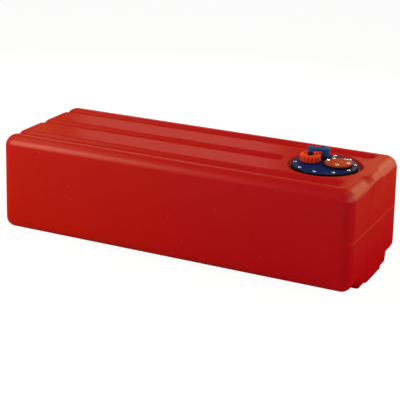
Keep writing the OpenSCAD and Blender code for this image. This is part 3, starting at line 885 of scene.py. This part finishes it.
FINISH = {
    "tank_plastic": tank_plastic(),
    "flange_plastic": moulded_plastic(
        "flange_navy", (0.006, 0.016, 0.105), (0.010, 0.024, 0.135), 0.34, 0.04),
    "fitting_plastic": moulded_plastic("fitting_blue", (0.018, 0.068, 0.250), (0.025, 0.090, 0.310), 0.36),
    "cap_plastic": moulded_plastic(
        "cap_orange", (0.680, 0.048, 0.014), (0.760, 0.064, 0.020), 0.38, shade_painter=shade_between_ribs),
    "sender_plastic": moulded_plastic(
        "sender_orange", (0.300, 0.036, 0.012), (0.380, 0.052, 0.016), 0.42, 0.04),
    "black_plastic": moulded_plastic("black_nylon", (0.008, 0.008, 0.009), (0.015, 0.015, 0.017), 0.42),
    "pale_plastic": moulded_plastic("natural_nylon", (0.62, 0.60, 0.53), (0.72, 0.70, 0.63), 0.45),
    "seal_rubber": rubber("seal_rubber"),
    "screw_steel": metal("stainless_steel", (0.44, 0.46, 0.52), (0.58, 0.60, 0.68), 0.16),
    "insert_brass": metal("insert_brass", (0.60, 0.42, 0.16), (0.75, 0.55, 0.24), 0.3),
}

# CAD nodes that show as they are, with the finish of each
NODE_FINISH = {
    "flange_gasket": "seal_rubber", "flange_inserts": "insert_brass", "neck_gasket": "seal_rubber",
    "cap_slip_ring": "pale_plastic", "draw_off_stem": "black_plastic", "elbow_o_ring": "seal_rubber",
    "elbow_snap_ring": "screw_steel", "pickup_tube": "pale_plastic", "pickup_strainer": "black_plastic",
    "vent_gasket": "seal_rubber", "vent_collar": "black_plastic", "vent_nut": "black_plastic",
    "vent_ball": "screw_steel", "vent_stop": "black_plastic", "vent_hose_tail": "black_plastic",
    "sender_gasket": "seal_rubber", "sender_inserts": "insert_brass",
}


def dress(piece, finish):
    """Gives a piece one finish all over."""
    piece.data.materials.clear()
    piece.data.materials.append(FINISH[finish])


def stand_for(piece, node, body, slot, finish=None):
    """Gives a piece its finish, and puts it on a body in place of a CAD node."""
    dress(piece, finish or slot)
    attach(piece, body)
    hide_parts(node)


stand_for(tank_skin(), "tank_shell", "tank", "tank_plastic")
stand_for(flange_plate(), "flange_plate", "tank", "flange_plastic")
# Black rings that stand in for shade: round the flange plate's rim and under the sender plate
for shade_ring in (plate_rim_shade_ring(), sender_shade_ring()):
    dress(shade_ring, "seal_rubber")
    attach(shade_ring, "tank")
stand_for(screw_cap(), "screw_cap", "cap", "cap_plastic")
stand_for(outlet_elbow(), "outlet_elbow", "elbow", "fitting_plastic")
stand_for(vent_body(), "vent_body", "tank", "fitting_plastic")
stand_for(sender_plate(), "sender_plate", "tank", "cap_plastic", "sender_plastic")
flange_screws = screw_set("flange_screw_set", FLANGE_SCREWS_AT, PLATE_TOP, FLANGE_SCREW_L)
stand_for(flange_screws, "flange_screws", "tank", "screw_steel")
sender_screws = screw_set("sender_screw_set", SENDER_SCREWS_AT, SENDER_TOP, SENDER_SCREW_L)
stand_for(sender_screws, "sender_screws", "tank", "screw_steel")
for node, slot in NODE_FINISH.items():
    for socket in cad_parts[node].material_slots:
        socket.material = FINISH[slot]


# Camera


def aim_camera():
    """Camera from the fit of the photograph: turn, tilt and roll in radians, frame of 400 pixels."""
    turn, tilt, roll = 0.448784, 0.337072, -0.020279
    offset = Vector((-0.006032, -0.022045, 3.273155))
    focal_px, frame_px, sensor = 1222.040, 400.0, 36.0
    body_middle = Vector((0.0, 0.0, 0.144))
    ahead = Vector((-math.sin(turn) * math.cos(tilt), math.cos(turn) * math.cos(tilt), -math.sin(tilt)))
    side = ahead.cross(Vector((0, 0, 1))).normalized()
    down = ahead.cross(side)
    right = side * math.cos(roll) + down * math.sin(roll)
    below = down * math.cos(roll) - side * math.sin(roll)
    eye = body_middle - right * offset.x - below * offset.y - ahead * offset.z
    data = bpy.data.cameras.new("camera")
    data.sensor_width = sensor
    data.lens = sensor * focal_px / frame_px
    data.clip_end = 50
    camera = bpy.data.objects.new("camera", data)
    camera.matrix_world = Matrix((right, -below, -ahead)).transposed().to_4x4()
    camera.location = eye
    bpy.context.scene.collection.objects.link(camera)
    bpy.context.scene.camera = camera


aim_camera()


# Studio


def softbox(name, at, look, size, power, tint=(1, 1, 1)):
    """Rectangular area lamp at a place, facing a point, in metres and watts."""
    data = bpy.data.lights.new(name, "AREA")
    data.shape = "RECTANGLE"
    data.size, data.size_y = size
    data.energy = power
    data.color = tint
    lamp = bpy.data.objects.new(name, data)
    lamp.location = at
    lamp.rotation_euler = (Vector(look) - Vector(at)).to_track_quat("-Z", "Y").to_euler()
    bpy.context.scene.collection.objects.link(lamp)


def seen_directly(nodes, links):
    """1 for rays from the camera and for mirror and clear rays, so that the background shows in them."""
    path = nodes.new("ShaderNodeLightPath")
    either = path.outputs["Is Camera Ray"]
    for other in ("Is Glossy Ray", "Is Transmission Ray"):
        most = nodes.new("ShaderNodeMath")
        most.operation = "MAXIMUM"
        links.new(either, most.inputs[0])
        links.new(path.outputs[other], most.inputs[1])
        either = most.outputs["Value"]
    return either


def white_world(level):
    """World that looks white up to a low height and dim above it, and gives a level fill light."""
    world = bpy.data.worlds.new("studio")
    bpy.context.scene.world = world
    world.use_nodes = True
    nodes, links = world.node_tree.nodes, world.node_tree.links
    nodes.clear()
    out = nodes.new("ShaderNodeOutputWorld")
    mix = nodes.new("ShaderNodeMixShader")
    light = nodes.new("ShaderNodeBackground")
    light.inputs["Color"].default_value = (1, 1, 1, 1)
    light.inputs["Strength"].default_value = level
    shown = nodes.new("ShaderNodeBackground")
    shown.inputs["Color"].default_value = (1, 1, 1, 1)
    place = nodes.new("ShaderNodeTexCoord")
    split = nodes.new("ShaderNodeSeparateXYZ")
    fall = nodes.new("ShaderNodeMapRange")
    fall.interpolation_type = "SMOOTHSTEP"
    for key, number in (("From Min", 0.16), ("From Max", 0.42), ("To Min", 1.0), ("To Max", 0.12)):
        fall.inputs[key].default_value = number
    links.new(place.outputs["Generated"], split.inputs[0])
    links.new(split.outputs["Z"], fall.inputs["Value"])
    links.new(fall.outputs["Result"], shown.inputs["Strength"])
    links.new(seen_directly(nodes, links), mix.inputs["Fac"])
    links.new(light.outputs[0], mix.inputs[1])
    links.new(shown.outputs[0], mix.inputs[2])
    links.new(mix.outputs[0], out.inputs["Surface"])


def white_floor(keep_shadow):
    """Pale floor that shows nearly white, and takes a share of the object's shadow."""
    mesh = bpy.data.meshes.new("floor")
    reach = 12.0
    corners = [(-reach, -reach, 0), (reach, -reach, 0), (reach, reach, 0), (-reach, reach, 0)]
    mesh.from_pydata(corners, [], [(0, 1, 2, 3)])
    floor = bpy.data.objects.new("floor", mesh)
    floor.location.z = -0.0005  # just under the tank's base
    bpy.context.scene.collection.objects.link(floor)
    paint = bpy.data.materials.new("floor_white")
    paint.use_nodes = True
    nodes, links = paint.node_tree.nodes, paint.node_tree.links
    nodes.clear()
    out = nodes.new("ShaderNodeOutputMaterial")
    mix = nodes.new("ShaderNodeMixShader")
    matt = nodes.new("ShaderNodeBsdfDiffuse")
    matt.inputs["Color"].default_value = (0.86, 0.86, 0.86, 1)
    glow = nodes.new("ShaderNodeEmission")
    glow.inputs["Strength"].default_value = 1.06
    share = nodes.new("ShaderNodeMath")
    share.operation = "MULTIPLY"
    share.inputs[1].default_value = 1.0 - keep_shadow
    links.new(seen_directly(nodes, links), share.inputs[0])
    links.new(share.outputs["Value"], mix.inputs["Fac"])
    links.new(matt.outputs[0], mix.inputs[1])
    links.new(glow.outputs[0], mix.inputs[2])
    links.new(mix.outputs[0], out.inputs["Surface"])
    mesh.materials.append(paint)


WARM = (1.0, 0.78, 0.55)
AMBER = (1.0, 0.82, 0.34)
softbox("key", (-1.6, -1.55, 1.5), (-0.25, -0.15, 0.25), (0.4, 1.4), 55.0, WARM)
softbox("top_left", (-1.35, 0.05, 1.85), (-0.35, 0.0, 0.27), (0.3, 0.3), 5.0, WARM)
softbox("top_right", (0.7, 0.1, 2.1), (0.3, 0.0, 0.27), (1.2, 1.0), 9.5, (1.0, 0.88, 0.74))
softbox("right", (2.35, -1.0, 0.85), (0.45, -0.15, 0.2), (1.2, 1.2), 12.5, (1.0, 0.74, 0.45))
softbox("right_high", (1.8, 0.1, 1.45), (0.47, -0.1, 0.25), (0.5, 0.5), 6.0, (1.0, 0.72, 0.40))
softbox("front", (0.7, -2.6, 1.0), (0.2, 0.0, 0.15), (1.6, 1.0), 3.0, (0.95, 0.8, 1.4))
softbox("rear", (-1.03, 1.9, 0.91), (-0.2, 0.0, 0.25), (0.9, 0.5), 8.0, (1.0, 0.93, 0.88))
softbox("rear_left", (-1.53, 1.37, 0.99), (-0.4, -0.15, 0.27), (0.3, 0.3), 3.0, AMBER)
softbox("rear_warm", (0.45, 1.9, 0.91), (0.45, 0.0, 0.27), (1.3, 0.5), 22.0, AMBER)
softbox("rear_low", (1.3, 1.85, 0.5), (0.5, 0.0, 0.25), (0.7, 0.7), 5.0, AMBER)
softbox("rear_right", (2.1, 0.9, 0.79), (0.47, -0.15, 0.25), (0.36, 0.36), 9.0, AMBER)
white_world(level=0.12)
white_floor(keep_shadow=0.1)

bpy.context.scene.view_settings.view_transform = "Standard"
